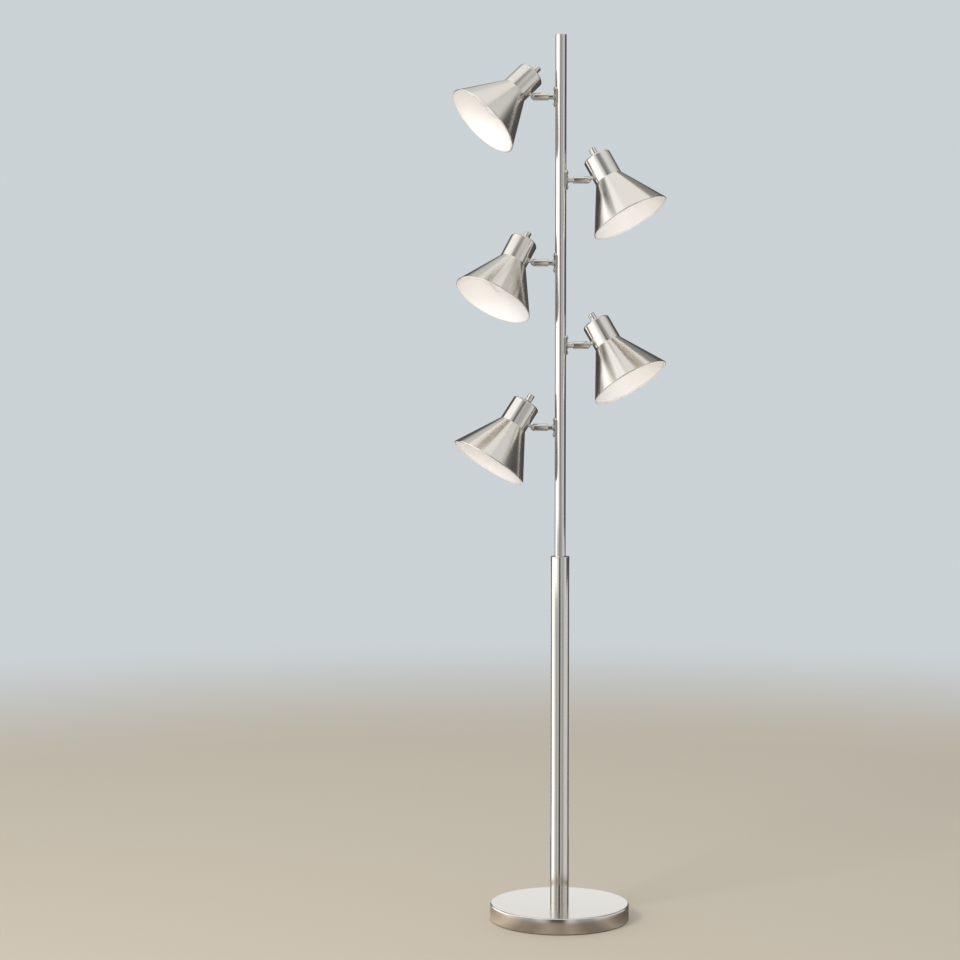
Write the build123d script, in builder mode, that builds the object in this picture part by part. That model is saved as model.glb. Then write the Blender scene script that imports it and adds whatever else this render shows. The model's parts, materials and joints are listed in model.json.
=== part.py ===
from build123d import *
import os
from math import cos, hypot, radians, sin

# Tree floor lamp: a weighted round base, a thick lower tube, a thin pole and
# five spotlight heads, each on a short arm with a slotted ball swivel.
# Millimetres, Z up. The origin is on the floor, on the axis of the pole.
# Heads 1, 3 and 5 point to -X, heads 2 and 4 to +X, and the front is -Y.

os.makedirs("parts", exist_ok=True)

# clearances
running_fit = 0.05  # radial, between a turning piece and its bore
seat_gap = 0.05  # between pieces that are pushed together
hole_gap = 0.15  # radial, round a screw or a bush in sheet

# base
base_d, base_h = 254.0, 30.0
cover_t, cover_lift = 1.5, 1.5
cover_edge_r, cover_foot_r = 3.0, 0.7
pad_h, pad_inset, pad_w, pad_chamfer = 4.0, 8.0, 31.0, 0.8
weight_gap, weight_chamfer = 1.0, 2.0
recess_d, recess_h = 34.0, 13.0
channel_w, channel_h = 14.0, 16.0

# bushing of the cord hole, at the back of the base
bushing_z, bushing_d, bushing_bore = 12.5, 9.2, 6.4
bushing_lip, bushing_lip_w = 1.4, 4.2  # snap lip inside the cover
bushing_flange, bushing_out = 2.0, 4.0

# stand
sleeve_d, sleeve_t, sleeve_top = 34.0, 1.5, 668.0
pole_d, pole_t, pole_top = 20.0, 1.4, 1610.0
collar_depth, collar_web, collar_flange, collar_edge = 40.0, 12.0, 2.0, 0.8
rod_d, rod_bore, rod_over = 10.0, 6.5, 4.0
nut_af, nut_h, washer_d, washer_h = 16.0, 6.0, 26.0, 2.0
cap_h, cap_edge, plug_l, plug_t = 2.5, 0.8, 9.0, 1.2

# arms
arm_drop, arm_pitch = 111.4, 149.0  # from the top of the pole, and from arm to arm
arm_d, arm_bore, arm_end = 10.0, 6.4, 34.0
arm_ring_d, arm_ring_h, arm_ring_slope = 12.0, 1.6, 0.4
arm_flange_d, arm_flange_h = 11.6, 2.0
saddle_w, saddle_h, saddle_t, saddle_corner_r = 17.0, 35.8, 2.4, 7.0
screw_pitch, screw_d, screw_in = 27.0, 3.0, 7.0
screw_head_d, screw_head_h, screw_taper = 5.4, 1.8, 24.0

# swivel
barrel_d, barrel_start, barrel_end, barrel_tail = 13.7, 22.5, 53.0, 0.8
nose_l, nose_d, wire_d, seat_land = 4.4, 8.2, 5.4, 4.0
ball_d, ball_x = 9.0, 50.0
slot_w, slot_below = 5.4, 0.6
stem_d, stem_bore, stem_end = 5.0, 2.4, 5.4
ring_d, ring_h = 9.0, 1.2
stem_nut_af, stem_nut_h, stem_nut_gap = 8.0, 2.4, 0.5

# shade, measured along its axis from the level of the stem
shade_offset, shade_t = 33.2, 0.8
neck_above, neck_l, neck_r, cap_fillet, neck_bend_r = 32.6, 47.6, 25.8, 4.0, 1.5
cone_l, rim_r = 83.9, 73.0
hem_w, hem_h, hem_r = 3.2, 1.6, 0.6

# lampholder with the switch in its top
holder_l, holder_r, holder_edge = 58.0, 18.4, 1.0
housing_l, housing_r = 20.0, 17.0
groove_l, groove_depth = 2.0, 2.4
socket_gap, socket_l = 0.6, 30.0

# switch and its knob
bush_d, bush_bore, bush_l = 10.0, 4.1, 12.0
bush_nut_af, bush_nut_h = 11.0, 3.0
shaft_d, shaft_below = 4.0, 2.0
knob_d, knob_l, knob_gap, knob_edge, knob_bore_l = 12.4, 14.0, 0.7, 1.0, 9.5
grub_d, grub_l, grub_key, grub_up = 3.0, 3.4, 1.6, 6.3

# bulb
globe_r, globe_tip, globe_open, glass_t = 22.5, 78.0, 128.0, 1.2
lamp_neck_r, lamp_neck_l = 12.6, 2.0
screw_cap_r, screw_cap_l, screw_cap_rim = 13.1, 20.0, 1.0
contact_r, contact_cone = 4.5, 4.6

# side, tilt, swivel and turn of the knob of heads 1 to 5, in degrees, as the lamp stands
poses = [
    (-1, 42.9, 22.9, 150), (1, 27.5, 15.6, 160), (-1, 26.0, 22.9, 60), (1, 28.3, 18.5, 60),
    (-1, 32.0, 13.7, 140),
]

# places that follow from these sizes
pole_r = pole_d / 2
rod_r = rod_d / 2
weight_top = base_h - cover_t
recess_roof = pad_h + recess_h
tube_top = sleeve_top - collar_flange
collar_foot = sleeve_top - collar_depth
pole_foot = collar_foot + collar_web
pole_end = pole_top - cap_h
seat_x = pole_r + saddle_t
stem_l = shade_offset - neck_r
cap_y = neck_above
junction_y = neck_above - neck_l
rim_y = junction_y - cone_l
holder_top = cap_y - shade_t
holder_end = holder_top - holder_l
socket_roof = holder_end + socket_l
bush_foot = holder_top - bush_l
shaft_foot = bush_foot - shaft_below
knob_y = cap_y + bush_nut_h + knob_gap


def section(origin, axis, across):
    """Plane for an outline that is spun: its Y runs along the axis."""
    return Plane(origin, x_dir=across, z_dir=across.cross(axis))


def lathe(plane, points, radii=None):
    """A turned piece: a closed outline of (radius, height) spun about the plane's Y axis."""
    with BuildPart() as turned:
        with BuildSketch(plane):
            with BuildLine():
                if radii:
                    FilletPolyline(*points, radius=radii, close=True)
                else:
                    Polyline(*points, close=True)
            make_face()
        revolve(axis=Axis(plane.origin, plane.y_dir))
    return turned


def finish(piece, name):
    """Names a finished piece and writes it."""
    piece.part.label = name
    export_step(piece.part, f"parts/{name}.step")


def finish_group(pieces, name):
    """Writes separate solids as one node."""
    solids = [solid for piece in pieces for solid in piece.part.solids()]
    export_step(Compound(label=name, children=solids), f"parts/{name}.step")


class Head:
    """The planes that one head and its arm are drawn on."""

    def __init__(self, number, side, tilt, swivel, knob_turn):
        outward, up = Vector(side, 0, 0), Vector(0, 0, 1)
        hang = Vector(0, -sin(radians(swivel)), -cos(radians(swivel)))
        along = outward * sin(radians(tilt)) + hang * cos(radians(tilt))
        across = outward * cos(radians(tilt)) - hang * sin(radians(tilt))
        root = Vector(0, 0, pole_top - arm_drop - arm_pitch * (number - 1))
        self.number = number
        self.z = root.Z
        self.pivot = root + outward * ball_x
        centre = self.pivot + across * shade_offset
        # faces: local Z out along the arm, the stem, the slot and towards the cap
        self.arm_face = Plane(root, x_dir=outward.cross(up), z_dir=outward)
        self.stem_face = Plane(self.pivot, x_dir=along, z_dir=across)
        self.slot_face = Plane(self.pivot, x_dir=outward, z_dir=-hang)
        self.cap_face = Plane(centre, x_dir=across, z_dir=-along)
        # sections for turned pieces
        self.arm = section(root, outward, up)
        self.barrel = section(root, outward, hang)
        self.stem = section(self.pivot, across, along)
        self.shade = section(centre, -along, across)
        # the grub screw of the knob points away from the axis of the shade
        screw_dir = across.rotate(Axis((0, 0, 0), -along), 180 + knob_turn * side)
        grub_root = centre - along * (knob_y + grub_up)
        self.grub_face = Plane(grub_root, x_dir=-along, z_dir=screw_dir)


# ---------------------------------------------------------------- base
def make_base_cover():
    """Pressed cover with a rounded shoulder, a hole for the rod and one for the cord."""
    outer, inner, hole = base_d / 2, base_d / 2 - cover_t, rod_r + hole_gap
    shell = lathe(
        Plane.XZ,
        [(hole, weight_top), (inner, weight_top), (inner, cover_lift), (outer, cover_lift),
         (outer, base_h), (hole, base_h)],
        [0, cover_edge_r - cover_t, 0, cover_foot_r, cover_edge_r, 0],
    )
    with BuildPart() as cover:
        add(shell.part)
        with BuildSketch(Plane((0, outer, bushing_z), x_dir=(1, 0, 0), z_dir=(0, 1, 0))):
            Circle(bushing_d / 2 + hole_gap)
        extrude(amount=-4 * cover_t, mode=Mode.SUBTRACT)
    return cover


def make_base_weight():
    """Cast disc with a recess for the nut and a channel for the wires."""
    with BuildPart() as weight:
        with BuildSketch(Plane.XY.offset(pad_h)):
            Circle(base_d / 2 - cover_t - weight_gap)
        extrude(amount=weight_top - pad_h)
        chamfer(weight.edges().filter_by(GeomType.CIRCLE), length=weight_chamfer)
        with BuildSketch(Plane.XY.offset(pad_h)):
            Circle(recess_d / 2)
        extrude(amount=recess_h, mode=Mode.SUBTRACT)
        with BuildSketch(Plane.XY.offset(pad_h)):
            Circle(rod_r + 2 * hole_gap)
        extrude(amount=base_h, mode=Mode.SUBTRACT)
        with BuildSketch(Plane.XY.offset(pad_h)):
            Rectangle(channel_w, base_d / 2, align=(Align.CENTER, Align.MIN))
        extrude(amount=channel_h, mode=Mode.SUBTRACT)
    return weight


def make_base_pad():
    """Ring that the lamp stands on."""
    outer = base_d / 2 - pad_inset
    with BuildPart() as pad:
        with BuildSketch():
            Circle(outer)
            Circle(outer - pad_w, mode=Mode.SUBTRACT)
        extrude(amount=pad_h)
        chamfer(pad.edges().group_by(Axis.Z)[0], length=pad_chamfer)
    return pad


def make_cord_bushing():
    """Snap-in bushing; height 0 of its outline is the outer face of the cover."""
    bore, body, lip = bushing_bore / 2, bushing_d / 2, bushing_d / 2 + bushing_lip
    lip_top = -cover_t - 2 * hole_gap
    flange = body + bushing_flange
    return lathe(
        section(Vector(0, base_d / 2, bushing_z), Vector(0, 1, 0), Vector(1, 0, 0)),
        [(bore, lip_top - bushing_lip_w), (lip, lip_top - bushing_lip_w), (lip, lip_top),
         (body, lip_top), (body, seat_gap), (flange, seat_gap), (flange, bushing_out), (bore, bushing_out)],
        [0, 0, 0, 0, 0, 0, bushing_out / 2, 0.5],
    )


finish(make_base_cover(), "base_cover")
finish(make_base_weight(), "base_weight")
finish(make_base_pad(), "base_pad")
finish(make_cord_bushing(), "cord_bushing")

# ---------------------------------------------------------------- stand
heads = [Head(number, *pose) for number, pose in enumerate(poses, 1)]

with BuildPart() as lower_tube:
    with BuildSketch(Plane.XY.offset(base_h)):
        Circle(sleeve_d / 2)
        Circle(sleeve_d / 2 - sleeve_t, mode=Mode.SUBTRACT)
    extrude(amount=tube_top - base_h)
finish(lower_tube, "lower_tube")

rod_foot = recess_roof - washer_h - nut_h - rod_over / 2
with BuildPart() as tie_rod:
    with BuildSketch(Plane.XY.offset(rod_foot)):
        Circle(rod_r)
        Circle(rod_bore / 2, mode=Mode.SUBTRACT)
    extrude(amount=pole_foot + rod_over - rod_foot)
finish(tie_rod, "tie_rod")

collar_in = sleeve_d / 2 - sleeve_t - seat_gap
tube_collar = lathe(
    Plane.XZ,
    [(rod_r + seat_gap, collar_foot), (collar_in, collar_foot), (collar_in, tube_top), (sleeve_d / 2, tube_top),
     (sleeve_d / 2, sleeve_top), (pole_r + seat_gap, sleeve_top), (pole_r + seat_gap, pole_foot),
     (rod_r + seat_gap, pole_foot)],
    [0, 0, 0, 0, collar_edge, 0, 0, 0],
)
finish(tube_collar, "tube_collar")

with BuildPart() as pole:
    with BuildSketch(Plane.XY.offset(pole_foot)):
        Circle(pole_r)
        Circle(pole_r - pole_t, mode=Mode.SUBTRACT)
    extrude(amount=pole_end - pole_foot)
    for head in heads:
        with BuildSketch(head.arm_face):
            Circle(arm_d / 2 + hole_gap)
            with GridLocations(0, screw_pitch, 1, 2):
                Circle(screw_d / 2 + seat_gap)
        extrude(amount=pole_d, mode=Mode.SUBTRACT)
finish(pole, "pole")

plug_r = pole_r - pole_t - seat_gap
pole_cap = lathe(
    Plane.XZ,
    [(plug_r - plug_t, pole_end - plug_l), (plug_r, pole_end - plug_l), (plug_r, pole_end), (pole_r, pole_end),
     (pole_r, pole_top), (0, pole_top), (0, pole_end + plug_t), (plug_r - plug_t, pole_end + plug_t)],
    [0, 0, 0, 0, cap_edge, 0, 0, 0],
)
finish(pole_cap, "pole_cap")


# ---------------------------------------------------------------- fasteners of the stand
def make_base_nut():
    with BuildPart() as nut:
        with BuildSketch(Plane.XY.offset(recess_roof - washer_h - nut_h)):
            RegularPolygon(nut_af / 2, 6, major_radius=False)
            Circle(rod_r + seat_gap, mode=Mode.SUBTRACT)
        extrude(amount=nut_h)
    return nut


def make_base_washer():
    with BuildPart() as washer:
        with BuildSketch(Plane.XY.offset(recess_roof - washer_h)):
            Circle(washer_d / 2)
            Circle(rod_r + hole_gap, mode=Mode.SUBTRACT)
        extrude(amount=washer_h)
    return washer


def make_saddle_screws(head):
    """The two oval-head screws of a saddle."""
    with BuildPart() as screws:
        with BuildSketch(head.arm_face.offset(screw_in)):
            with GridLocations(0, screw_pitch, 1, 2):
                Circle(screw_d / 2)
        extrude(amount=seat_x - screw_in)
        with BuildSketch(head.arm_face.offset(seat_x)):
            with GridLocations(0, screw_pitch, 1, 2):
                Circle(screw_head_d / 2)
        extrude(amount=screw_head_h, taper=screw_taper)
    return screws


fasteners = [make_base_nut(), make_base_washer()] + [make_saddle_screws(head) for head in heads]
finish_group(fasteners, "stand_fasteners")


# ---------------------------------------------------------------- arm and swivel
def make_saddle(head):
    """The plate that wraps the pole and carries the arm."""
    with BuildPart() as saddle:
        with BuildSketch(Plane.XY.offset(head.z - saddle_h / 2)):
            Circle(seat_x)
            Circle(pole_r + seat_gap, mode=Mode.SUBTRACT)
        extrude(amount=saddle_h)
        with BuildSketch(head.arm_face):
            RectangleRounded(saddle_w, saddle_h, saddle_corner_r)
        extrude(amount=pole_d, mode=Mode.INTERSECT)
        with BuildSketch(head.arm_face):
            Circle(arm_d / 2 + hole_gap)
            with GridLocations(0, screw_pitch, 1, 2):
                Circle(screw_d / 2 + hole_gap)
        extrude(amount=pole_d, mode=Mode.SUBTRACT)
    return saddle


def make_arm_tube(head):
    """Thin tube through the saddle, with a ring outside it and a flange held in the barrel."""
    ring_top = seat_x + arm_ring_h
    return lathe(head.arm, [
        (arm_bore / 2, screw_in), (arm_d / 2, screw_in), (arm_d / 2, seat_x), (arm_ring_d / 2, seat_x),
        (arm_ring_d / 2, ring_top), (arm_d / 2, ring_top + arm_ring_slope), (arm_d / 2, arm_end - arm_flange_h),
        (arm_flange_d / 2, arm_end - arm_flange_h), (arm_flange_d / 2, arm_end), (arm_bore / 2, arm_end),
    ])


def make_barrel(head):
    """Barrel that turns on the flange of the arm, with a ball seat and a slot in its nose."""
    outer, bore = barrel_d / 2, arm_d / 2 + running_fit
    chamber = arm_flange_d / 2 + running_fit
    chamber_start = arm_end - arm_flange_h - running_fit
    chamber_end = arm_end + running_fit
    body = lathe(head.barrel, [
        (bore, barrel_start), (outer - barrel_tail, barrel_start), (outer, barrel_start + barrel_tail),
        (outer, barrel_end - nose_l), (nose_d / 2, barrel_end), (0, barrel_end), (0, chamber_end + seat_land),
        (wire_d / 2, chamber_end + seat_land), (wire_d / 2, chamber_end), (chamber, chamber_end),
        (chamber, chamber_start), (bore, chamber_start),
    ])
    wire_way = lathe(head.barrel, [
        (0, chamber_end), (wire_d / 2, chamber_end), (wire_d / 2, ball_x), (0, ball_x),
    ])
    with BuildPart() as barrel:
        add(body.part)
        add(wire_way.part, mode=Mode.SUBTRACT)
        with Locations(head.pivot):
            Sphere(ball_d / 2 + running_fit, mode=Mode.SUBTRACT)
        # slot that the stem swings in, from just behind the ball's centre to the end
        with BuildSketch(head.slot_face):
            with Locations((-slot_below, 0)):
                Rectangle(barrel_d, slot_w, align=(Align.MIN, Align.CENTER))
        extrude(amount=barrel_d, mode=Mode.SUBTRACT)
    return barrel


def make_ball_stem(head):
    """Ball, hollow stem and the ring that the shade is clamped against."""
    stem = lathe(head.stem, [
        (0, 0), (stem_d / 2, 0), (stem_d / 2, stem_l - ring_h), (ring_d / 2, stem_l - ring_h), (ring_d / 2, stem_l),
        (stem_d / 2, stem_l), (stem_d / 2, stem_l + stem_end), (0, stem_l + stem_end),
    ])
    with BuildPart() as ball_stem:
        add(stem.part)
        with Locations(head.pivot):
            Sphere(ball_d / 2)
        with BuildSketch(head.stem_face.offset(-ball_d)):
            Circle(stem_bore / 2)
        extrude(amount=2 * ball_d + stem_l + stem_end, mode=Mode.SUBTRACT)
    return ball_stem


def make_stem_nut(head):
    with BuildPart() as nut:
        with BuildSketch(head.stem_face.offset(stem_l + shade_t + stem_nut_gap)):
            RegularPolygon(stem_nut_af / 2, 6, major_radius=False)
            Circle(stem_d / 2 + seat_gap, mode=Mode.SUBTRACT)
        extrude(amount=stem_nut_h)
    return nut


# ---------------------------------------------------------------- head
def make_shade(head):
    """Spun shade: closed cap, straight neck, cone and a hem curled in at the rim."""
    lean = (rim_r - neck_r) / cone_l
    wall = shade_t * hypot(1, lean)
    hem_top = rim_y + hem_h
    inside_neck = neck_r - shade_t
    spun = lathe(
        head.shade,
        [(0, cap_y), (neck_r, cap_y), (neck_r, junction_y), (rim_r, rim_y + hem_h / 2), (rim_r, rim_y),
         (rim_r - hem_w, rim_y), (rim_r - hem_w, hem_top), (rim_r - lean * hem_h / 2 - wall, hem_top),
         (inside_neck, junction_y - shade_t * lean / 2), (inside_neck, holder_top), (0, holder_top)],
        [0, cap_fillet, neck_bend_r, 0.4, hem_r, hem_r, hem_r, 0, neck_bend_r + shade_t, cap_fillet - shade_t, 0],
    )
    with BuildPart() as shade:
        add(spun.part)
        with BuildSketch(head.cap_face.offset(holder_top - shade_t)):
            Circle(bush_d / 2 + hole_gap)
        extrude(amount=3 * shade_t, mode=Mode.SUBTRACT)
        with BuildSketch(head.stem_face.offset(stem_l - shade_t)):
            Circle(stem_d / 2 + hole_gap)
        extrude(amount=4 * shade_t, mode=Mode.SUBTRACT)
    return shade


def make_lampholder(head):
    """Housing of the switch, a groove, and the socket for the bulb's screw cap."""
    bush = bush_d / 2 + seat_gap
    socket = screw_cap_r + socket_gap
    housing_end = holder_top - housing_l
    groove_r = holder_r - groove_depth
    return lathe(head.shade, [
        (bush, holder_top), (housing_r - holder_edge, holder_top), (housing_r, holder_top - holder_edge),
        (housing_r, housing_end), (groove_r, housing_end - groove_l), (groove_r, housing_end - 2 * groove_l),
        (holder_r, housing_end - 3 * groove_l), (holder_r, holder_end), (socket, holder_end), (socket, socket_roof),
        (0, socket_roof), (0, shaft_foot - holder_edge), (bush, shaft_foot - holder_edge),
    ])


def make_switch_bush(head):
    """Threaded bush of the switch with the nut that clamps the shade to the lampholder."""
    with BuildPart() as switch_bush:
        with BuildSketch(head.cap_face.offset(bush_foot)):
            Circle(bush_d / 2)
        extrude(amount=cap_y + bush_nut_h - bush_foot)
        with BuildSketch(head.cap_face.offset(cap_y)):
            RegularPolygon(bush_nut_af / 2, 6, major_radius=False)
        extrude(amount=bush_nut_h)
        with BuildSketch(head.cap_face.offset(bush_foot)):
            Circle(bush_bore / 2)
        extrude(amount=cap_y + bush_nut_h - bush_foot, mode=Mode.SUBTRACT)
    return switch_bush


def make_knob(head):
    """Turned knob with a bore for the shaft and a radial hole for its grub screw."""
    bore, knob_r, top = shaft_d / 2 + seat_gap, knob_d / 2, knob_y + knob_l
    bore_end = knob_y + knob_bore_l + 2 * seat_gap
    turned = lathe(head.shade, [
        (bore, knob_y), (knob_r - knob_edge, knob_y), (knob_r, knob_y + knob_edge), (knob_r, top - knob_edge),
        (knob_r - knob_edge, top), (0, top), (0, bore_end), (bore, bore_end),
    ])
    with BuildPart() as knob:
        add(turned.part)
        with BuildSketch(head.grub_face):
            Circle(grub_d / 2 + seat_gap)
        extrude(amount=knob_d, mode=Mode.SUBTRACT)
    return knob


def make_switch_shaft(head):
    with BuildPart() as shaft:
        with BuildSketch(head.cap_face.offset(shaft_foot)):
            Circle(shaft_d / 2)
        extrude(amount=knob_y + knob_bore_l - shaft_foot)
    return shaft


def make_grub_screw(head):
    with BuildPart() as grub:
        with BuildSketch(head.grub_face.offset(shaft_d / 2 + seat_gap)):
            Circle(grub_d / 2)
            RegularPolygon(grub_key / 2, 6, major_radius=False, mode=Mode.SUBTRACT)
        extrude(amount=grub_l)
    return grub


def on_globe(radius, angle):
    """Point of the globe's outline at an angle from its tip."""
    globe_y = globe_r - globe_tip
    return (radius * sin(radians(angle)), globe_y - radius * cos(radians(angle)))


def make_bulb_glass(head):
    """Hollow globe that narrows into the screw cap."""
    inner_r, inner_neck = globe_r - glass_t, lamp_neck_r - glass_t
    neck_top, neck_end = holder_end - screw_cap_rim, holder_end - screw_cap_rim - lamp_neck_l
    with BuildPart() as bulb_glass:
        with BuildSketch(head.shade):
            with BuildLine():
                Polyline((lamp_neck_r, neck_top), (lamp_neck_r, neck_end), on_globe(globe_r, globe_open))
                ThreePointArc(on_globe(globe_r, globe_open), on_globe(globe_r, globe_open / 2), on_globe(globe_r, 0))
                Line(on_globe(globe_r, 0), on_globe(inner_r, 0))
                ThreePointArc(on_globe(inner_r, 0), on_globe(inner_r, globe_open / 2), on_globe(inner_r, globe_open))
                Polyline(
                    on_globe(inner_r, globe_open), (inner_neck, neck_end), (inner_neck, neck_top),
                    (lamp_neck_r, neck_top),
                )
            make_face()
        revolve(axis=Axis(head.shade.origin, head.shade.y_dir))
    return bulb_glass


def make_bulb_base(head):
    """Hollow screw cap, from its rim on the glass to the contact under the roof of the socket."""
    neck_top, inner_neck = holder_end - screw_cap_rim, lamp_neck_r - glass_t
    shoulder = socket_roof - contact_cone
    return lathe(head.shade, [
        (inner_neck, neck_top), (screw_cap_r, neck_top), (screw_cap_r, holder_end + screw_cap_l),
        (contact_r, shoulder), (contact_r, socket_roof), (0, socket_roof), (0, shoulder - screw_cap_rim),
        (inner_neck, holder_end + screw_cap_l - screw_cap_rim),
    ])


for head in heads:
    finish(make_saddle(head), f"saddle_{head.number}")
    finish(make_arm_tube(head), f"arm_tube_{head.number}")
    finish(make_barrel(head), f"swivel_barrel_{head.number}")
    finish_group([make_ball_stem(head), make_stem_nut(head)], f"ball_stem_{head.number}")
    finish(make_shade(head), f"shade_{head.number}")
    finish(make_lampholder(head), f"lampholder_{head.number}")
    finish(make_switch_bush(head), f"switch_bush_{head.number}")
    finish_group([make_knob(head), make_switch_shaft(head), make_grub_screw(head)], f"switch_knob_{head.number}")
    finish(make_bulb_glass(head), f"bulb_glass_{head.number}")
    finish(make_bulb_base(head), f"bulb_base_{head.number}")
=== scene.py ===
import json
from math import cos, pi, radians, sin, tan

import bmesh
import bpy
from mathutils import Matrix, Vector


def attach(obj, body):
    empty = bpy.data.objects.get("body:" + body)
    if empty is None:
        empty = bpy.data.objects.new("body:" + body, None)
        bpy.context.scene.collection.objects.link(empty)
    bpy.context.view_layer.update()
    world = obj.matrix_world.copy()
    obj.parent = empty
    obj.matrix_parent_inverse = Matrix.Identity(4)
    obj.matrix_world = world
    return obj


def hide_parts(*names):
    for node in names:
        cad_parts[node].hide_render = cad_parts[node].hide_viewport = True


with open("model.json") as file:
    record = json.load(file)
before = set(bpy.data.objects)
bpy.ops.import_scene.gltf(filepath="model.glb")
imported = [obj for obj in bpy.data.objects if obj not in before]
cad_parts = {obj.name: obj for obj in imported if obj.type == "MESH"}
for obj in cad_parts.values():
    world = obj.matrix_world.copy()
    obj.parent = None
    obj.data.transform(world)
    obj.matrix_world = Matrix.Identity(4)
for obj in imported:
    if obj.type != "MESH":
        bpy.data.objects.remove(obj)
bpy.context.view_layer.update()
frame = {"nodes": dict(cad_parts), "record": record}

MM = 0.001
NODE_SHARP, PIECE_SHARP = 30.0, 35.0                    # turns in degrees that stay sharp when shaded

# ------------------------------------------------------------------ sizes (mm)
fit = 0.05                                              # radial gap of pieces that slide or turn
thread_r, thread_hole = 5.0, 5.15                       # tie rod and switch bush, and what they pass through

base_r, base_h, cover_t, cover_lift = 127.0, 30.0, 1.5, 1.5
sleeve_r, sleeve_wall, sleeve_top, flange_h = 17.0, 1.5, 668.0, 2.0
collar_foot = 628.0
pole_r, pole_wall, pole_foot, pole_top = 10.0, 1.4, 640.0, 1610.0
cap_h, plug_l, plug_r, plug_bore, plug_top = 2.5, 11.5, 8.5, 7.3, 1.5
nut_flats, nut_low, nut_high = 16.0, 9.0, 15.0
washer_r, washer_high = 13.0, 17.0

arm_r, arm_bore, arm_in, arm_end = 5.0, 3.2, 7.0, 34.0
arm_flange_r, arm_flange_l = 5.8, 2.0
seat_x, ring_r, ring_h = 12.4, 6.0, 1.6
saddle_w, saddle_h, saddle_t, saddle_corner = 17.0, 35.8, 2.4, 7.0
screw_pitch, screw_r, screw_head_r, screw_head_h = 27.0, 1.5, 2.7, 1.8
recess_l, recess_w, recess_x = 1.3, 0.3, 0.9            # half sides of the cross, and where it starts

barrel_r, barrel_start, barrel_end = 6.85, 22.5, 53.0
nose_l, nose_r, tail = 4.4, 4.1, 0.8
chamber_r, land, wire_r = 5.85, 4.0, 2.7
slot_w, slot_back = 2.7, 0.75                           # half width, and how far behind the ball's centre
ball_r, ball_x, stem_r, stem_bore = 4.5, 50.0, 2.5, 1.2
stop_r, stop_h, stem_end = 4.5, 1.2, 5.4                # ring that the shade is clamped against
lock_flats, lock_low, lock_high = 8.0, 1.5, 3.9

arm_drop, arm_pitch, offset = 111.4, 149.0, 33.2
neck_r, neck_l, cap_y, cone_l, rim_r, wall = 25.8, 47.6, 32.6, 83.9, 73.0, 0.8
hem_w, hem_h = 3.2, 1.6
rim_step, junction_step = 1.37, 0.22                    # keep the wall of the cone even
junction_y = cap_y - neck_l
rim_y = junction_y - cone_l

nut_h, knob_gap, knob_r, knob_l, knob_neck = 3.0, 0.7, 6.2, 14.0, 0.9
shaft_r, shaft_low, shaft_l, knob_bore = 2.0, 18.5, 9.5, 9.6
grub_r, grub_in, grub_out, grub_key = 1.5, 2.05, 5.45, 1.4
holder_l, lamp_neck_r, lamp_neck_l = 58.0, 12.6, 3.0
globe_r, globe_tip, globe_arc, glass_t = 22.5, 78.0, 128.0, 1.2
holder_end = cap_y - wall - holder_l

# side, tilt and swivel of each head at rest, and how far its knob is turned
poses = [
    (-1, 42.9, 22.9, 150),
    (1, 27.5, 15.6, 160),
    (-1, 26.0, 22.9, 60),
    (1, 28.3, 18.5, 60),
    (-1, 32.0, 13.7, 140),
]


# ------------------------------------------------------------------ camera
# distance and height in metres, pitch in degrees; the rest in pixels of the 960 pixel frame
DIST, HEIGHT, PITCH = 4.3, 1.052, 3.26
FRAME_PX, LENS_PX, POLE_PX = 960.0, 2369.0, 560.4
SENSOR = 36.0
cam_data = bpy.data.cameras.new("camera")
cam_data.lens = SENSOR * LENS_PX / FRAME_PX
cam_data.sensor_width = SENSOR
cam_data.clip_end = 60.0
camera = bpy.data.objects.new("camera", cam_data)
camera.location = (-(POLE_PX - FRAME_PX / 2) / LENS_PX * DIST, -DIST, HEIGHT)
camera.rotation_euler = (radians(90.0 - PITCH), 0.0, 0.0)
bpy.context.collection.objects.link(camera)
bpy.context.scene.camera = camera


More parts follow.
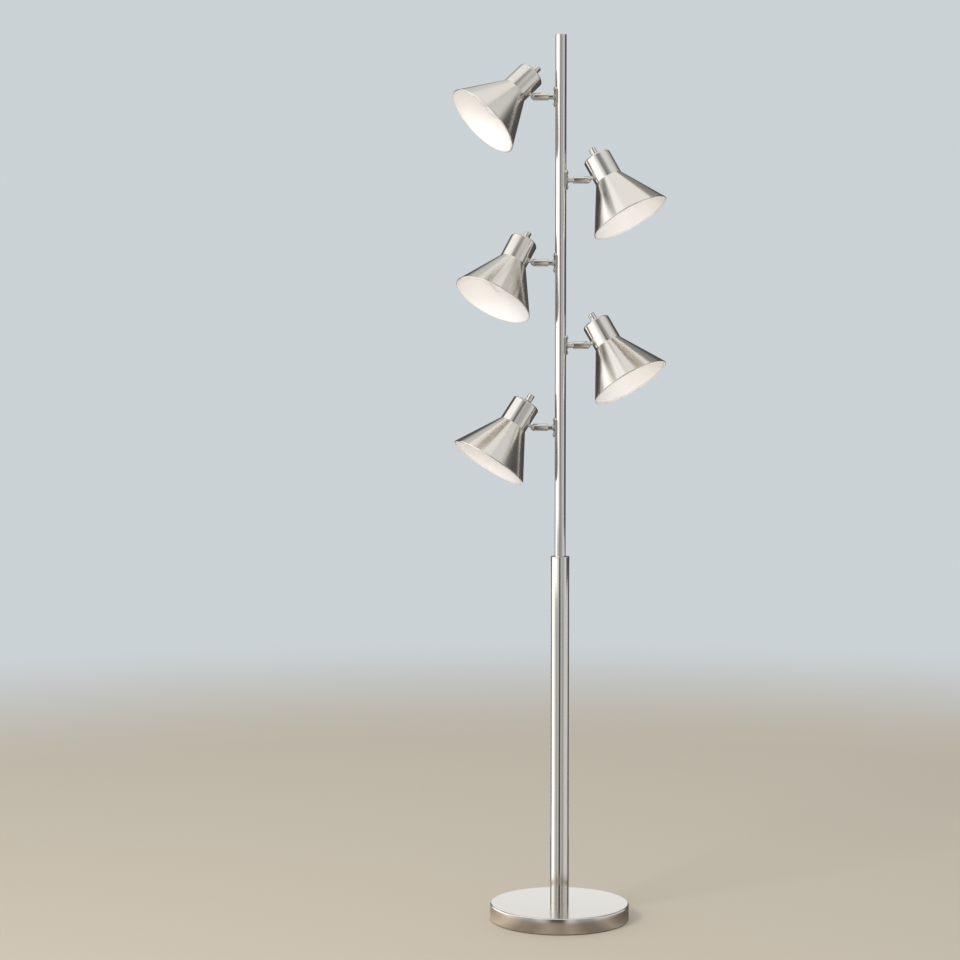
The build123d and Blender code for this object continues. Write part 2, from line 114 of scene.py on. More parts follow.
# ------------------------------------------------------------------ materials
class Nodes:
    """A small helper for writing node trees."""

    def __init__(self, name):
        self.mat = bpy.data.materials.new(name)
        self.mat.use_nodes = True
        self.tree = self.mat.node_tree
        self.tree.nodes.clear()
        self.out = self.tree.nodes.new("ShaderNodeOutputMaterial")

    def new(self, kind, settings=None, **inputs):
        node = self.tree.nodes.new(kind)
        for key, value in (settings or {}).items():
            setattr(node, key, value)
        for key, value in inputs.items():
            self.put(node, key.replace("_", " "), value)
        return node

    def put(self, node, key, value):
        socket = node.inputs[int(key)] if key.isdigit() else node.inputs[key]
        if isinstance(value, bpy.types.NodeSocket):
            self.tree.links.new(value, socket)
        else:
            socket.default_value = value

    def math(self, op, a, b=0.0):
        node = self.tree.nodes.new("ShaderNodeMath")
        node.operation = op
        self.put(node, "0", a)
        self.put(node, "1", b)
        return node.outputs[0]

    def ramp(self, fac, stops, smooth=True):
        node = self.tree.nodes.new("ShaderNodeValToRGB")
        ramp = node.color_ramp
        ramp.interpolation = "EASE" if smooth else "LINEAR"
        while len(ramp.elements) < len(stops):
            ramp.elements.new(0.5)
        for element, (pos, col) in zip(ramp.elements, stops):
            element.position = pos
            element.color = (*col, 1.0) if isinstance(col, tuple) else (col, col, col, 1.0)
        self.put(node, "Fac", fac)
        return node.outputs["Color"]

    def mix(self, fac, a, b):
        node = self.tree.nodes.new("ShaderNodeMix")
        node.data_type = "RGBA"
        self.put(node, "0", fac)
        for i, value in ((6, a), (7, b)):
            self.put(node, str(i), (*value, 1.0) if isinstance(value, tuple) else value)
        return node.outputs[2]

    def noise(self, vector, scale, detail=3.0, rough=0.5):
        node = self.new("ShaderNodeTexNoise", Scale=scale, Detail=detail, Roughness=rough)
        self.put(node, "Vector", vector)
        return node.outputs["Fac"]

    def combine(self, x, y, z):
        node = self.tree.nodes.new("ShaderNodeCombineXYZ")
        for key, value in zip("XYZ", (x, y, z)):
            self.put(node, key, value)
        return node.outputs[0]

    def coords(self):
        return self.new("ShaderNodeTexCoord").outputs["Object"]

    def axes(self, coords):
        return self.new("ShaderNodeSeparateXYZ", Vector=coords).outputs[:]

    def bump(self, height, strength, distance):
        return self.new("ShaderNodeBump", Height=height, Strength=strength, Distance=distance).outputs["Normal"]

    def surface(self, node):
        self.tree.links.new(node.outputs[0], self.out.inputs["Surface"])
        return self.mat


def nickel(name, rough, stretch, streaks=0.02):
    """Satin nickel with its grain round the local Z axis, so that reflections run along the axis.

    Smudges and streaks vary the roughness on both sides of rough.
    """
    dark, light, smudges = (0.735, 0.71, 0.66), (0.775, 0.75, 0.70), 0.012
    n = Nodes(name)
    coords = n.coords()
    x, y, z = n.axes(coords)
    fine = n.combine(n.math("MULTIPLY", x, 4.0), n.math("MULTIPLY", y, 4.0), n.math("MULTIPLY", z, 1400.0))
    grain = n.noise(fine, 1.5, 2.0)
    along = n.combine(n.math("MULTIPLY", n.math("ARCTAN2", y, x), 9.0), n.math("MULTIPLY", z, 1.5), 0.0)
    streak = n.noise(along, 2.2, 4.0, 0.6)
    smudge = n.noise(coords, 38.0, 3.0, 0.55)
    tone = n.mix(n.math("MULTIPLY", n.math("ADD", smudge, streak), 0.5), dark, light)
    roughness = n.math("ADD", rough - smudges - streaks, n.math("MULTIPLY", smudge, 2.0 * smudges))
    roughness = n.math("ADD", roughness, n.math("MULTIPLY", streak, 2.0 * streaks))
    shader = n.new(
        "ShaderNodeBsdfPrincipled",
        Metallic=1.0, Base_Color=tone, Roughness=roughness, Anisotropic=stretch, Anisotropic_Rotation=0.25,
        Normal=n.bump(grain, 0.015, 0.00003),
    )
    tangent = n.new("ShaderNodeTangent", {"direction_type": "RADIAL", "axis": "Z"})
    n.put(shader, "Tangent", tangent.outputs[0])
    return n.surface(shader)


def enamel(name):
    """White baked enamel with faint orange peel."""
    n = Nodes(name)
    coords = n.coords()
    tone = n.mix(n.noise(coords, 30.0), (0.93, 0.89, 0.865), (0.955, 0.925, 0.90))
    peel = n.noise(coords, 900.0, 2.0)
    rough = n.math("ADD", 0.34, n.math("MULTIPLY", n.noise(coords, 60.0), 0.12))
    return n.surface(n.new(
        "ShaderNodeBsdfPrincipled", Base_Color=tone, Roughness=rough, Normal=n.bump(peel, 0.08, 0.0001),
    ))


def frosted(name):
    """Frosted bulb glass with its diffusing coat, and painted shade: a grey outline painted where the glass
    turns edge-on to the view.
    """
    n = Nodes(name)
    coords = n.coords()
    # painted shade: where the glass turns edge-on to the view its colour is painted grey, below
    facing = n.new("ShaderNodeLayerWeight", Blend=0.5).outputs["Facing"]
    edge = n.ramp(facing, [(0.72, 0.0), (0.97, 1.0)])
    tone = n.mix(n.noise(coords, 80.0), (0.925, 0.905, 0.885), (0.95, 0.935, 0.915))
    tone = n.mix(edge, tone, (0.50, 0.47, 0.44))
    rough = n.math("ADD", 0.2, n.math("MULTIPLY", n.noise(coords, 300.0), 0.12))
    return n.surface(n.new(
        "ShaderNodeBsdfPrincipled", Base_Color=tone, Roughness=rough, IOR=1.5,
        Normal=n.bump(n.noise(coords, 1500.0), 0.05, 0.0001),
    ))


def plain(name, dark, light, rough, metallic, scale, bump=0.2, depth=0.0002):
    """Moulded, cast or plated stock with mottling and a fine surface texture."""
    n = Nodes(name)
    coords = n.coords()
    spots = n.noise(coords, scale, 4.0, 0.6)
    tone = n.mix(n.noise(coords, scale * 0.2, 3.0), dark, light)
    roughness = n.math("ADD", rough - 0.06, n.math("MULTIPLY", spots, 0.12))
    return n.surface(n.new(
        "ShaderNodeBsdfPrincipled", Metallic=metallic, Base_Color=tone, Roughness=roughness,
        Normal=n.bump(spots, bump, depth),
    ))


turned = nickel("nickel_turned", 0.16, 0.5)
drawn = nickel("nickel_drawn", 0.13, 0.5, 0.01)
pressed = nickel("nickel_pressed", 0.22, 0.0)
spun = nickel("nickel_spun", 0.19, 0.7, 0.012)
base_nickel = nickel("nickel_base", 0.16, 0.0, 0.015)
white = enamel("white_enamel")
glass = frosted("frosted_glass")
zinc = plain("zinc_plate", (0.55, 0.56, 0.58), (0.66, 0.67, 0.68), 0.36, 1.0, 400.0)
concrete = plain("concrete", (0.36, 0.35, 0.33), (0.46, 0.45, 0.42), 0.85, 0.0, 160.0, 0.6, 0.0006)
rubber = plain("pad_rubber", (0.02, 0.02, 0.02), (0.035, 0.035, 0.035), 0.75, 0.0, 500.0, 0.4)
black = plain("bushing_plastic", (0.025, 0.025, 0.026), (0.04, 0.04, 0.042), 0.5, 0.0, 700.0, 0.15)
thermoset = plain("holder_plastic", (0.80, 0.785, 0.75), (0.86, 0.845, 0.81), 0.38, 0.0, 300.0, 0.1)
brass = plain("cap_brass", (0.62, 0.58, 0.47), (0.74, 0.70, 0.60), 0.3, 1.0, 200.0, 0.1)

by_slot = {
    "satin_nickel": turned, "zinc_steel": zinc, "concrete": concrete, "pad_rubber": rubber,
    "bushing_plastic": black, "holder_plastic": thermoset, "frosted_glass": glass, "cap_brass": brass,
}


def smoothing(angle):
    """Node group that shades a mesh smooth except where it turns by more than the angle."""
    group = bpy.data.node_groups.new("smooth_by_angle", "GeometryNodeTree")
    group.interface.new_socket("Geometry", in_out="INPUT", socket_type="NodeSocketGeometry")
    group.interface.new_socket("Geometry", in_out="OUTPUT", socket_type="NodeSocketGeometry")
    new, link = group.nodes.new, group.links.new
    source, sink = new("NodeGroupInput"), new("NodeGroupOutput")
    merge = new("GeometryNodeMergeByDistance")
    faces, edges = new("GeometryNodeSetShadeSmooth"), new("GeometryNodeSetShadeSmooth")
    merge.inputs["Distance"].default_value = 0.000001
    edges.domain = "EDGE"
    edges.inputs["Shade Smooth"].default_value = False
    turn, over = new("GeometryNodeInputMeshEdgeAngle"), new("ShaderNodeMath")
    over.operation = "GREATER_THAN"
    over.inputs[1].default_value = radians(angle)
    link(source.outputs[0], merge.inputs["Geometry"])
    link(merge.outputs[0], faces.inputs["Geometry"])
    link(faces.outputs[0], edges.inputs["Geometry"])
    link(turn.outputs[0], over.inputs[0])
    link(over.outputs[0], edges.inputs["Selection"])
    link(edges.outputs[0], sink.inputs[0])
    return group


smooth_group = smoothing(NODE_SHARP)
slots = {s["node"]: s["material_slot"] for s in frame["record"]["subparts"]}
for node, obj in frame["nodes"].items():
    obj.data.materials.clear()
    obj.data.materials.append(by_slot[slots[node]])
    obj.modifiers.new("smooth", "NODES").node_group = smooth_group


# ------------------------------------------------------------------ mesh helpers
def rounded(points, radii, steps=6):
    """The outline with its corners rounded; radii has one value per point."""
    made = []
    count = len(points)
    for i, (p, r) in enumerate(zip(points, radii)):
        p = Vector(p)
        if not r:
            made.append(tuple(p))
            continue
        a, b = Vector(points[i - 1]) - p, Vector(points[(i + 1) % count]) - p
        a.normalize()
        b.normalize()
        half = a.angle(b) / 2
        reach = r / tan(half)
        centre = p + (a + b).normalized() * (r / sin(half))
        start, end = p + a * reach - centre, p + b * reach - centre
        sweep = start.angle(end)
        for k in range(steps + 1):
            t = k / steps
            q = (start * sin((1 - t) * sweep) + end * sin(t * sweep)) / sin(sweep)
            made.append(tuple(centre + q))
    return made


def place(origin, axis, across):
    """Matrix whose local Z is axis and local X is across, with its origin in millimetres."""
    z, x = Vector(axis).normalized(), Vector(across).normalized()
    y = z.cross(x)
    m = Matrix((x, y, z)).transposed().to_4x4()
    m.translation = Vector(origin) * MM
    return m


def add(name, mesh, matrix, body, nodes, materials):
    """A piece of the lamp that moves with the body and stands in for the nodes."""
    mesh.polygons.foreach_set("use_smooth", [True] * len(mesh.polygons))
    mesh.set_sharp_from_angle(angle=radians(PIECE_SHARP))
    for m in materials:
        mesh.materials.append(m)
    obj = bpy.data.objects.new(name, mesh)
    bpy.context.collection.objects.link(obj)
    obj.matrix_world = matrix
    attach(obj, body)
    if nodes:
        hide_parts(*nodes)
    return obj


def lathe_mesh(name, outline, sides, inside=None):
    """Closed outline of (radius, height) in mm, spun round Z. inside(i) gives edge i's material."""
    bm = bmesh.new()
    rings = []
    for r, h in outline:
        if abs(r) < 1e-6:
            rings.append([bm.verts.new((0, 0, h * MM))])
        else:
            rings.append([
                bm.verts.new((r * MM * cos(2 * pi * k / sides), r * MM * sin(2 * pi * k / sides), h * MM))
                for k in range(sides)
            ])
    for i, low in enumerate(rings):
        high = rings[(i + 1) % len(rings)]
        if len(low) == 1 and len(high) == 1:
            continue
        for k in range(sides):
            j = (k + 1) % sides
            if len(low) == 1:
                loop = [low[0], high[j], high[k]]
            elif len(high) == 1:
                loop = [low[k], low[j], high[0]]
            else:
                loop = [low[k], low[j], high[j], high[k]]
            face = bm.faces.new(loop)
            face.material_index = inside(i) if inside else 0
    bmesh.ops.recalc_face_normals(bm, faces=bm.faces)
    mesh = bpy.data.meshes.new(name)
    bm.to_mesh(mesh)
    bm.free()
    return mesh


def cut(mesh, cutter, matrix=None, how="DIFFERENCE"):
    """The mesh with the cutter's volume taken out, or only what lies inside it."""
    a = bpy.data.objects.new("cut_a", mesh)
    b = bpy.data.objects.new("cut_b", cutter)
    if matrix:
        b.matrix_world = matrix
    for o in (a, b):
        bpy.context.collection.objects.link(o)
    mod = a.modifiers.new("cut", "BOOLEAN")
    mod.operation, mod.object, mod.solver = how, b, "EXACT"
    bpy.context.view_layer.update()
    made = bpy.data.meshes.new_from_object(a.evaluated_get(bpy.context.evaluated_depsgraph_get()))
    made.name = mesh.name + "_cut"
    for o in (a, b):
        bpy.data.objects.remove(o)
    return made


def drill(radius, low, high, sides=32):
    """A plain cylinder on Z to bore with."""
    return lathe_mesh("drill", [(0, low), (radius, low), (radius, high), (0, high)], sides)


def block(name, low, high):
    """A box between two corners in mm."""
    bm = bmesh.new()
    bmesh.ops.create_cube(bm, size=1.0)
    for v in bm.verts:
        for k in range(3):
            v.co[k] = (low[k] if v.co[k] < 0 else high[k]) * MM
    mesh = bpy.data.meshes.new(name)
    bm.to_mesh(mesh)
    bm.free()
    return mesh


def prism(name, outline, low, high, edge=0.0):
    """Outline of (x, y) in mm, raised from low to high, with its edges eased."""
    bm = bmesh.new()
    floor = bm.faces.new([bm.verts.new((x * MM, y * MM, low * MM)) for x, y in outline])
    top = bmesh.ops.extrude_face_region(bm, geom=[floor])
    bmesh.ops.translate(
        bm, verts=[g for g in top["geom"] if isinstance(g, bmesh.types.BMVert)], vec=(0, 0, (high - low) * MM)
    )
    bmesh.ops.recalc_face_normals(bm, faces=bm.faces)
    if edge:
        bmesh.ops.bevel(bm, geom=bm.edges, offset=edge * MM, segments=2, affect="EDGES", profile=0.6)
    mesh = bpy.data.meshes.new(name)
    bm.to_mesh(mesh)
    bm.free()
    return mesh


def eased(obj, width, segments, angle):
    """Breaks the edges of a piece that turn by more than the angle."""
    mod = obj.modifiers.new("edge_break", "BEVEL")
    mod.width, mod.segments, mod.limit_method, mod.angle_limit = width * MM, segments, "ANGLE", radians(angle)
    mod.harden_normals = True


def hexagon(flats):
    """Corners in mm, from the size across the flats."""
    r = flats / 2 / cos(pi / 6)
    return [(r * cos(2 * pi * k / 6), r * sin(2 * pi * k / 6)) for k in range(6)]


UP, EAST = (0, 0, 1), (1, 0, 0)
ground = place((0, 0, 0), UP, EAST)

# ------------------------------------------------------------------ stand
cover = rounded(
    [(thread_hole, base_h - cover_t), (base_r - cover_t, base_h - cover_t), (base_r - cover_t, cover_lift),
     (base_r, cover_lift), (base_r, base_h), (thread_hole, base_h)],
    [0, 1.5, 0, 0.7, 3.0, 0], 8,
)
add("base_cover_shell", lathe_mesh("base_cover_shell", cover, 256), ground, "stand", ["base_cover"],
    [base_nickel])

tube_end, tube_bore = sleeve_top - flange_h, sleeve_r - sleeve_wall
tube = rounded(
    [(tube_bore, base_h), (sleeve_r, base_h), (sleeve_r, tube_end), (tube_bore, tube_end)],
    [0, 0.25, 0.25, 0],
)
add("lower_tube_skin", lathe_mesh("lower_tube_skin", tube, 128), ground, "stand", ["lower_tube"],
    [drawn])

collar = rounded(
    [(thread_r + fit, collar_foot), (tube_bore - fit, collar_foot), (tube_bore - fit, tube_end),
     (sleeve_r, tube_end), (sleeve_r, sleeve_top), (pole_r + fit, sleeve_top), (pole_r + fit, pole_foot),
     (thread_r + fit, pole_foot)],
    [0, 0, 0, 0.2, 0.8, 0.2, 0, 0], 5,
)
add("tube_collar_turned", lathe_mesh("tube_collar_turned", collar, 128), ground, "stand", ["tube_collar"],
    [turned])

pole_end, pole_bore = pole_top - cap_h, pole_r - pole_wall
pole = rounded(
    [(pole_bore, pole_foot), (pole_r, pole_foot), (pole_r, pole_end), (pole_bore, pole_end)],
    [0, 0.2, 0.2, 0],
)
add("pole_skin", lathe_mesh("pole_skin", pole, 96), ground, "stand", ["pole"], [drawn])

plug = rounded(
    [(plug_bore, pole_top - plug_l), (plug_r, pole_top - plug_l), (plug_r, pole_end), (pole_r, pole_end),
     (pole_r, pole_top), (0, pole_top), (0, pole_top - plug_top), (plug_bore, pole_top - plug_top)],
    [0, 0, 0, 0.15, 0.9, 0, 0, 0], 5,
)
add("pole_cap_turned", lathe_mesh("pole_cap_turned", plug, 96), ground, "stand", ["pole_cap"],
    [turned])

nut = cut(
    prism("base_nut", hexagon(nut_flats), nut_low, nut_high, 0.5),
    drill(thread_r + fit, nut_low - 1, nut_high + 1, 48),
)
add("base_nut", nut, ground, "stand", ["stand_fasteners"], [zinc])
washer = rounded(
    [(thread_hole, nut_high), (washer_r, nut_high), (washer_r, washer_high), (thread_hole, washer_high)],
    [0.2, 0.4, 0.4, 0.2], 3,
)
add("base_washer", lathe_mesh("base_washer", washer, 64), ground, "stand", [], [zinc])


# ------------------------------------------------------------------ heads
def make_head(k, side, tilt, swivel, knob_turn):
    """Head k with its arm, on side -1 or 1 of the pole. The angles are in degrees."""
    z = pole_top - arm_drop - arm_pitch * (k - 1)
    out = Vector((side, 0, 0))
    # hang is square to the arm, down is the axis of the shade, and its centre lies across from the pivot
    hang = Vector((0, -sin(radians(swivel)), -cos(radians(swivel))))
    down = out * sin(radians(tilt)) + hang * cos(radians(tilt))
    across = out * cos(radians(tilt)) - hang * sin(radians(tilt))
    pivot = out * ball_x + Vector((0, 0, z))
    centre = pivot + across * offset
    arm_m = place((0, 0, z), out, UP)
    stem_m = place(pivot, across, down)
    head_m = place(centre, -down, across)
    head = f"head_{k}"

    # arm tube with the ring that bears on the saddle and the flange inside the barrel
    flange_x = arm_end - arm_flange_l
    tube = rounded(
        [(arm_bore, arm_in), (arm_r, arm_in), (arm_r, seat_x), (ring_r, seat_x), (ring_r, seat_x + ring_h),
         (arm_r, seat_x + ring_h + 0.4), (arm_r, flange_x), (arm_flange_r, flange_x), (arm_flange_r, arm_end),
         (arm_bore, arm_end)],
        [0, 0, 0, 0.2, 0.5, 0.3, 0, 0, 0, 0], 4,
    )
    name = f"arm_tube_{k}_turned"
    add(name, lathe_mesh(name, tube, 64), arm_m, "stand", [f"arm_tube_{k}"], [turned])

    # saddle wrapped on the pole, and its two oval-head screws
    inner, outer, end = pole_r + fit, pole_r + saddle_t, 30
    band = lathe_mesh("band", [(inner, -end), (outer, -end), (outer, end), (inner, end)], 160)
    half_w, half_h = saddle_w / 2, saddle_h / 2
    corners = [(-half_h, -half_w), (half_h, -half_w), (half_h, half_w), (-half_h, half_w)]
    plate = prism("plate", rounded(corners, [saddle_corner] * 4, 10), arm_in - 3, seat_x + 3.6)
    band_m = place((0, 0, z), UP, out)
    saddle = cut(band, plate, band_m.inverted() @ arm_m, "INTERSECT")
    piece = add(f"saddle_{k}_plate", saddle, band_m, "stand", [f"saddle_{k}"], [pressed])
    eased(piece, 0.6, 3, 40)

    dome = rounded(
        [(0, arm_in), (screw_r, arm_in), (screw_r, seat_x - 0.3), (screw_head_r, seat_x - 0.3),
         (screw_head_r, seat_x + 0.35), (1.9, seat_x + 1.45), (0, seat_x + screw_head_h)],
        [0, 0, 0, 0.1, 0.25, 0.8, 0], 5,
    )
    for end, level in ((-1, "low"), (1, "high")):
        name = f"saddle_screw_{k}_{level}"
        screw = lathe_mesh(name, dome, 48)
        for half_x, half_y in ((recess_l, recess_w), (recess_w, recess_l)):
            groove = block("recess", (-half_x, -half_y, seat_x + recess_x), (half_x, half_y, seat_x + 4))
            screw = cut(screw, groove)
        # each screw stopped at its own angle when it was driven home
        driven = Matrix.Rotation(radians(23 + 41 * k + 17 * end), 4, "Z")
        screw_m = arm_m @ Matrix.Translation((end * screw_pitch / 2 * MM, 0, 0)) @ driven
        add(name, screw, screw_m, "stand", ["stand_fasteners"], [pressed])

    # barrel with its ball seat and the slot that the stem swings in
    bore, chamber_in, chamber_out = arm_r + fit, flange_x - fit, arm_end + fit
    barrel = rounded(
        [(bore, barrel_start), (barrel_r, barrel_start), (barrel_r, barrel_end - nose_l), (nose_r, barrel_end),
         (0, barrel_end), (0, chamber_out + land), (wire_r, chamber_out + land), (wire_r, chamber_out),
         (chamber_r, chamber_out), (chamber_r, chamber_in), (bore, chamber_in)],
        [0.2, tail, 0.9, 0.3, 0, 0, 0, 0, 0, 0, 0], 6,
    )
    name = f"swivel_barrel_{k}_turned"
    seat_r = ball_r + fit
    seat = [(seat_r * sin(a * pi / 24), ball_x - seat_r * cos(a * pi / 24)) for a in range(25)]
    shell = cut(lathe_mesh(name, barrel, 96), lathe_mesh("seat", seat, 64))
    shell = cut(shell, drill(wire_r, 37, ball_x, 48))
    shell = cut(shell, block("slot", (-20, -slot_w, ball_x - slot_back), (0, slot_w, 60)))
    piece = add(name, shell, place((0, 0, z), out, hang), f"swivel_{k}", [f"swivel_barrel_{k}"],
                [turned])
    eased(piece, 0.15, 2, 50)

    # ball and stem, and the lock nut inside the shade
    reach = offset - neck_r
    first, last = 0.27, 2.551                               # where the bore opens and the stem begins
    turns = [first + (last - first) * i / 20 for i in range(21)]
    stem = [(ball_r * sin(a), -ball_r * cos(a)) for a in turns] + [(stem_r, reach - stop_h)] + rounded(
        [(stop_r, reach - stop_h), (stop_r, reach), (stem_r, reach), (stem_r, reach + stem_end),
         (stem_bore, reach + stem_end)],
        [0.4, 0.2, 0, 0.3, 0], 4,
    )
    name = f"ball_stem_{k}_turned"
    add(name, lathe_mesh(name, stem, 64), stem_m, head, [f"ball_stem_{k}"], [turned])
    lock = prism("lock", hexagon(lock_flats), reach + lock_low, reach + lock_high, 0.3)
    add(f"stem_nut_{k}", cut(lock, drill(stem_r + fit, 0, 30)), stem_m, head, [], [zinc])

    # spun shade: flat cap, neck, cone and a hem turned inwards, enamelled from the rim's underside inwards
    inner = neck_r - wall
    corners = [
        (thread_hole, cap_y), (neck_r, cap_y), (neck_r, junction_y), (rim_r, rim_y + 1.5), (rim_r, rim_y),
        (rim_r - hem_w, rim_y), (rim_r - hem_w, rim_y + hem_h), (rim_r - rim_step, rim_y + hem_h),
        (inner, junction_y - junction_step), (inner, cap_y - wall), (thread_hole, cap_y - wall),
    ]
    shape = rounded(corners, [0, 4.0, 1.5, 0.4, 1.1, 0.6, 0.6, 0, 2.3, 3.2, 0], 8)
    lip = max(i for i, (r, y) in enumerate(shape) if y < rim_y + 0.5 and r > rim_r - 1.2)
    name = f"shade_{k}_spun"
    shade = lathe_mesh(name, shape, 256, lambda i: int(lip <= i < len(shape) - 1))
    add(name, shade, head_m, head, [f"shade_{k}"], [spun, white])

    # bulb glass: a globe, its neck and the wall between outside and inside
    turns = [radians(globe_arc) * t / 24 for t in range(25)]
    outside, inside = (
        [(r * sin(a), globe_r - globe_tip - r * cos(a)) for a in turns] for r in (globe_r, globe_r - glass_t)
    )
    neck_top, neck_bore = holder_end - lamp_neck_l, lamp_neck_r - glass_t
    neck = [
        (lamp_neck_r + 0.4, neck_top - 3.0), (lamp_neck_r, neck_top), (lamp_neck_r, holder_end - 1.0),
        (neck_bore, holder_end - 1.0), (neck_bore, neck_top),
    ]
    name = f"bulb_glass_{k}_globe"
    bulb = lathe_mesh(name, outside + neck + inside[::-1], 96)
    add(name, bulb, head_m, head, [f"bulb_glass_{k}"], [glass])

    # knob with a domed end, and its grub screw in a radial hole
    low = cap_y + nut_h + knob_gap
    bore = shaft_r + fit
    knob = rounded(
        [(bore, low), (knob_r - knob_neck, low), (knob_r, low + knob_neck), (knob_r, low + knob_l),
         (0, low + knob_l), (0, low + knob_bore), (bore, low + knob_bore)],
        [0, 0.2, 0.2, 1.0, 0, 0, 0], 5,
    )
    turn = radians(180 + knob_turn * side)
    radial = Vector((cos(turn), sin(turn), 0)).to_track_quat("Z", "Y").to_matrix().to_4x4()
    hole_m = Matrix.Translation((0, 0, (low + knob_l * 0.45) * MM)) @ radial
    name, knob_body = f"switch_knob_{k}_turned", f"knob_{k}"
    shell = cut(lathe_mesh(name, knob, 96), drill(grub_r + fit, 0.5, 9.0), hole_m)
    add(name, shell, head_m, knob_body, [f"switch_knob_{k}"], [turned])
    shaft_end = low + shaft_l
    shaft = rounded(
        [(0, shaft_low), (shaft_r, shaft_low), (shaft_r, shaft_end), (0, shaft_end)], [0, 0.3, 0.3, 0], 3,
    )
    name = f"switch_shaft_{k}"
    add(name, lathe_mesh(name, shaft, 32), head_m, knob_body, [], [zinc])
    circle = [(grub_r * cos(a * pi / 12), grub_r * sin(a * pi / 12)) for a in range(24)]
    grub = prism(f"grub_screw_{k}", circle, grub_in, grub_out)
    grub = cut(grub, prism("key", hexagon(grub_key), 4.0, 7.0))
    add(f"grub_screw_{k}", grub, head_m @ hole_m, knob_body, [], [zinc])


for number, pose in enumerate(poses, 1):
    make_head(number, *pose)

# ------------------------------------------------------------------ stage (m)
BACKDROP = (0.60, 0.645, 0.675)
FLOOR_HALF = 20


def stage_object(name, verts, faces, material):
    mesh = bpy.data.meshes.new(name)
    mesh.from_pydata(verts, [], faces)
    mesh.materials.append(material)
    obj = bpy.data.objects.new(name, mesh)
    bpy.context.collection.objects.link(obj)
    return obj


def length_of(n, x, y):
    return n.math("SQRT", n.math("ADD", n.math("MULTIPLY", x, x), n.math("MULTIPLY", y, y)))


def floor_material():
    """Pale floor that fades into the backdrop a few metres out."""
    n = Nodes("floor_paint")
    x, y, _ = n.axes(n.coords())
    fade = n.ramp(n.math("DIVIDE", length_of(n, x, y), 6.0), [(0.30, 0.0), (0.72, 1.0)])
    paint = n.new("ShaderNodeBsdfDiffuse", Color=(0.73, 0.625, 0.50, 1.0))
    clear = n.new("ShaderNodeBsdfTransparent")
    both = n.new("ShaderNodeMixShader", Fac=fade)
    n.tree.links.new(paint.outputs[0], both.inputs[1])
    n.tree.links.new(clear.outputs[0], both.inputs[2])
    return n.surface(both)


corners = [(x * FLOOR_HALF, y * FLOOR_HALF, 0) for x, y in ((-1, -1), (1, -1), (1, 1), (-1, 1))]
stage_object("studio_floor", corners, [(0, 1, 2, 3)], floor_material())

# The tent: what the metal reflects, and nothing else sees. Tones go by azimuth in degrees, which is
# 0 towards the camera and 90 towards +X.
WALL_R, WALL_LOW, WALL_TOP = 2.2, -0.3, 5.0
SKIRT_R, SKIRT_TOP = 0.7, 0.6
FOOT_R, FOOT_TOP, FOOT_REACH = 0.25, 0.16, 134
# radii and lift of the disc that carries the painted shadow
SHADOW_DISC_IN, SHADOW_DISC_OUT, SHADOW_DISC_LIFT = 0.128, 0.69, 0.0005
STRENGTH = 1.5                                          # a ramp's colours end at 1, and the tones don't
wall_low = [
    (-180, 0.12), (-124, 0.05), (-118, 1.45), (-44, 1.45), (-36, 1.00), (-17, 0.75), (-11, 0.06), (0, 0.06),
    (6, 0.60), (11, 0.66), (20, 0.46), (48, 0.54), (58, 0.78), (76, 0.78), (84, 0.10), (150, 0.08), (180, 0.12),
]
wall_high = [
    (-180, 0.75), (-150, 0.55), (-134, 1.15), (-48, 1.20), (-36, 0.95), (-24, 0.40), (-10, 0.27), (12, 0.30),
    (22, 0.60), (40, 0.85), (98, 0.78), (106, 0.58), (130, 0.48), (150, 0.25), (160, 0.28), (172, 0.70),
    (180, 0.75),
]
wall_foot = [
    (-180, 0.92), (-160, 0.92), (-156, 0.08), (-124, 0.07), (-118, 1.45), (-80, 1.45), (-68, 0.90), (-52, 0.56),
    (-38, 0.42), (-26, 0.70), (-19, 0.55), (-11, 0.07), (3, 0.06), (9, 0.72), (15, 0.66), (22, 0.38), (40, 0.42),
    (50, 0.72), (104, 0.74), (112, 0.10), (156, 0.12), (160, 0.92), (180, 0.92),
]
# painted shadow: dark warm tones of the floor in the lamp's shade, which only the metal reflects
painted_shadow_tones = [
    (-180, 0.30), (-110, 0.34), (-68, 0.66), (-45, 0.30), (-28, 0.25), (-14, 0.38), (0, 0.29), (9, 0.36),
    (26, 0.20), (38, 0.20), (56, 0.36), (72, 0.20), (95, 0.12), (150, 0.14), (180, 0.30),
]


def azimuth_of(n, x, y):
    """Azimuth as a share of the full turn, with 0.5 towards the camera."""
    return n.math("ADD", n.math("DIVIDE", n.math("ARCTAN2", x, n.math("MULTIPLY", y, -1.0)), 2 * pi), 0.5)


def round_ramp(n, azimuth, tones, color):
    """Tones round the tent, each made into a ramp's colour by color."""
    return n.ramp(azimuth, [((a + 180) / 360, color(s)) for a, s in tones], False)


def wall_material(name, low_tones, high_tones):
    """Glow that goes from the low tones to the high ones between 2.1 and 3.1 m up."""
    n = Nodes(name)
    x, y, z = n.axes(n.coords())
    azimuth = azimuth_of(n, x, y)
    near = round_ramp(n, azimuth, low_tones, lambda s: s / STRENGTH)
    far = round_ramp(n, azimuth, high_tones, lambda s: s / STRENGTH)
    rise = n.ramp(n.math("DIVIDE", z, WALL_TOP), [(0.42, 0.0), (0.62, 1.0)])
    return n.surface(n.new("ShaderNodeEmission", Color=n.mix(rise, near, far), Strength=STRENGTH))


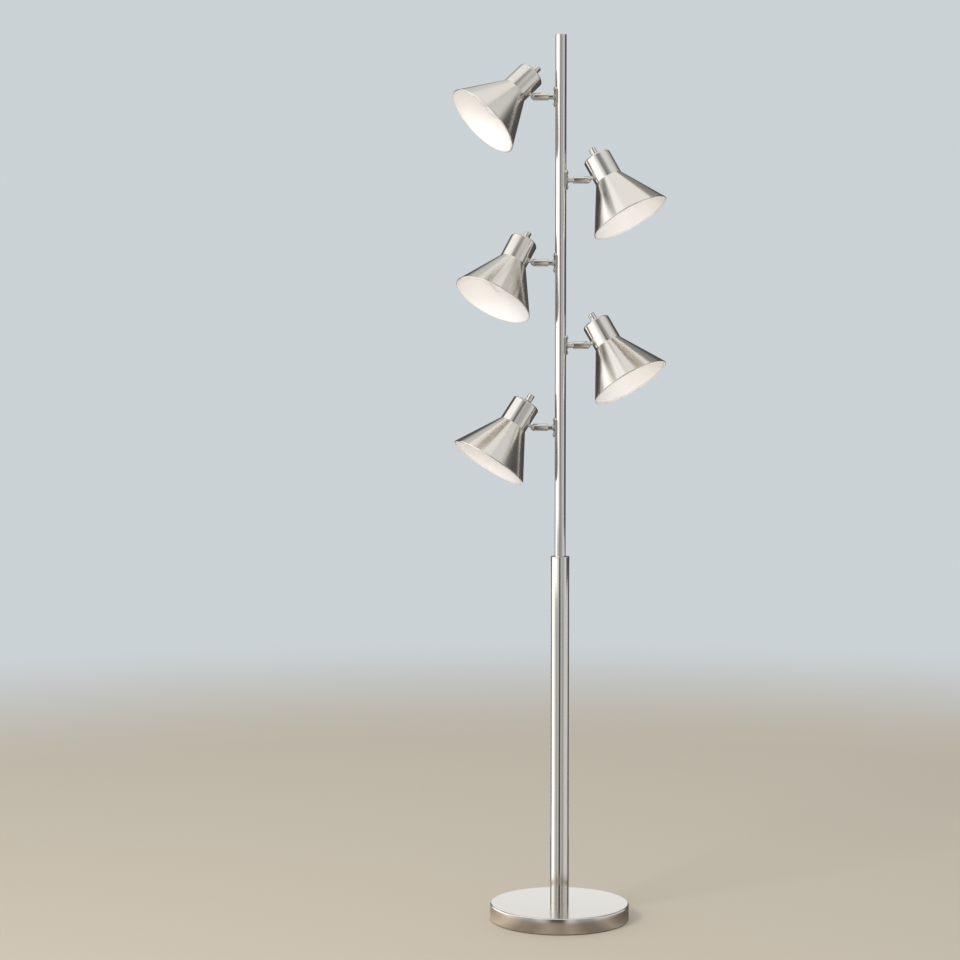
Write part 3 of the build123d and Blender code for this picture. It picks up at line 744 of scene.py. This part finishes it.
def flag_material():
    """Painted shadow: dark warm tones on the floor, as the metal would see the floor in the lamp's shade, which
    even out away from the base.
    """
    n = Nodes("tent_painted_shadow")
    x, y, _ = n.axes(n.coords())
    out = length_of(n, x, y)
    near = round_ramp(n, azimuth_of(n, x, y), painted_shadow_tones, lambda s: (s * 1.1, s * 0.90, s * 0.72))
    tone = n.mix(n.ramp(out, [(0.25, 0.0), (0.32, 1.0)]), near, (0.16, 0.145, 0.13))
    return n.surface(n.new("ShaderNodeEmission", Color=tone, Strength=1.0))


def top_material():
    n = Nodes("tent_top")
    return n.surface(n.new("ShaderNodeEmission", Color=(1.0, 0.99, 0.965, 1.0), Strength=1.0))


def tent_object(name, verts, faces, material):
    """A stage object that only glossy rays see."""
    obj = stage_object(name, verts, faces, material)
    obj.visible_camera = obj.visible_diffuse = obj.visible_shadow = obj.visible_transmission = False


def arc_points(radius, reach=180):
    """Points on a circle, to the azimuth of reach on both sides of the camera."""
    return [(radius * sin(radians(a)), -radius * cos(radians(a))) for a in range(-reach, reach + 1, 2)]


def tent_ring(name, radius, low, high, material, reach=180):
    ring = arc_points(radius, reach)
    verts = [(x, y, h) for x, y in ring for h in (low, high)]
    faces = [(2 * k, 2 * k + 1, 2 * k + 3, 2 * k + 2) for k in range(len(ring) - 1)]
    tent_object(name, verts, faces, material)


tent_ring("tent_wall", WALL_R, WALL_LOW, WALL_TOP, wall_material("tent_wall", wall_low, wall_high))
skirt = wall_material("tent_skirt", wall_foot, wall_foot)
tent_ring("tent_skirt", SKIRT_R, 0.0, SKIRT_TOP, skirt)
tent_ring("tent_foot", FOOT_R, 0.0, FOOT_TOP, skirt, FOOT_REACH)

# a disc just above the floor with the painted shadow, which only glossy rays see
disc = [(x, y, SHADOW_DISC_LIFT) for r in (SHADOW_DISC_IN, SHADOW_DISC_OUT) for x, y in arc_points(r)[:-1]]
count = len(disc) // 2
quads = [(k, (k + 1) % count, (k + 1) % count + count, k + count) for k in range(count)]
tent_object("tent_painted_shadow", disc, quads, flag_material())
top = [(x, y, WALL_TOP) for x, y in arc_points(WALL_R)[:-1]]
tent_object("tent_top", top, [tuple(range(len(top)))], top_material())


def area(name, location, target, size, power, color, spread=180.0):
    """A rectangular light aimed at the target, which the metal doesn't show."""
    data = bpy.data.lights.new(name, "AREA")
    data.shape, data.size, data.size_y, data.energy, data.color = "RECTANGLE", size[0], size[1], power, color
    data.spread = radians(spread)
    obj = bpy.data.objects.new(name, data)
    obj.location = location
    obj.rotation_euler = (Vector(target) - Vector(location)).to_track_quat("-Z", "Y").to_euler()
    bpy.context.collection.objects.link(obj)
    obj.visible_glossy = False


area("key", (-2.4, -2.6, 2.9), (0, 0, 0.9), (1.6, 1.6), 62.0, (1.0, 0.99, 0.97))
area("fill", (0.6, -3.0, 0.35), (0, 0, 1.2), (2.4, 0.6), 5.0, (1.0, 0.98, 0.965), 50.0)

world = bpy.data.worlds.new("studio")
world.use_nodes = True
bpy.context.scene.world = world
background = world.node_tree.nodes["Background"]
background.inputs["Color"].default_value = (*BACKDROP, 1.0)
background.inputs["Strength"].default_value = 1.0

bpy.context.scene.view_settings.view_transform = "Standard"
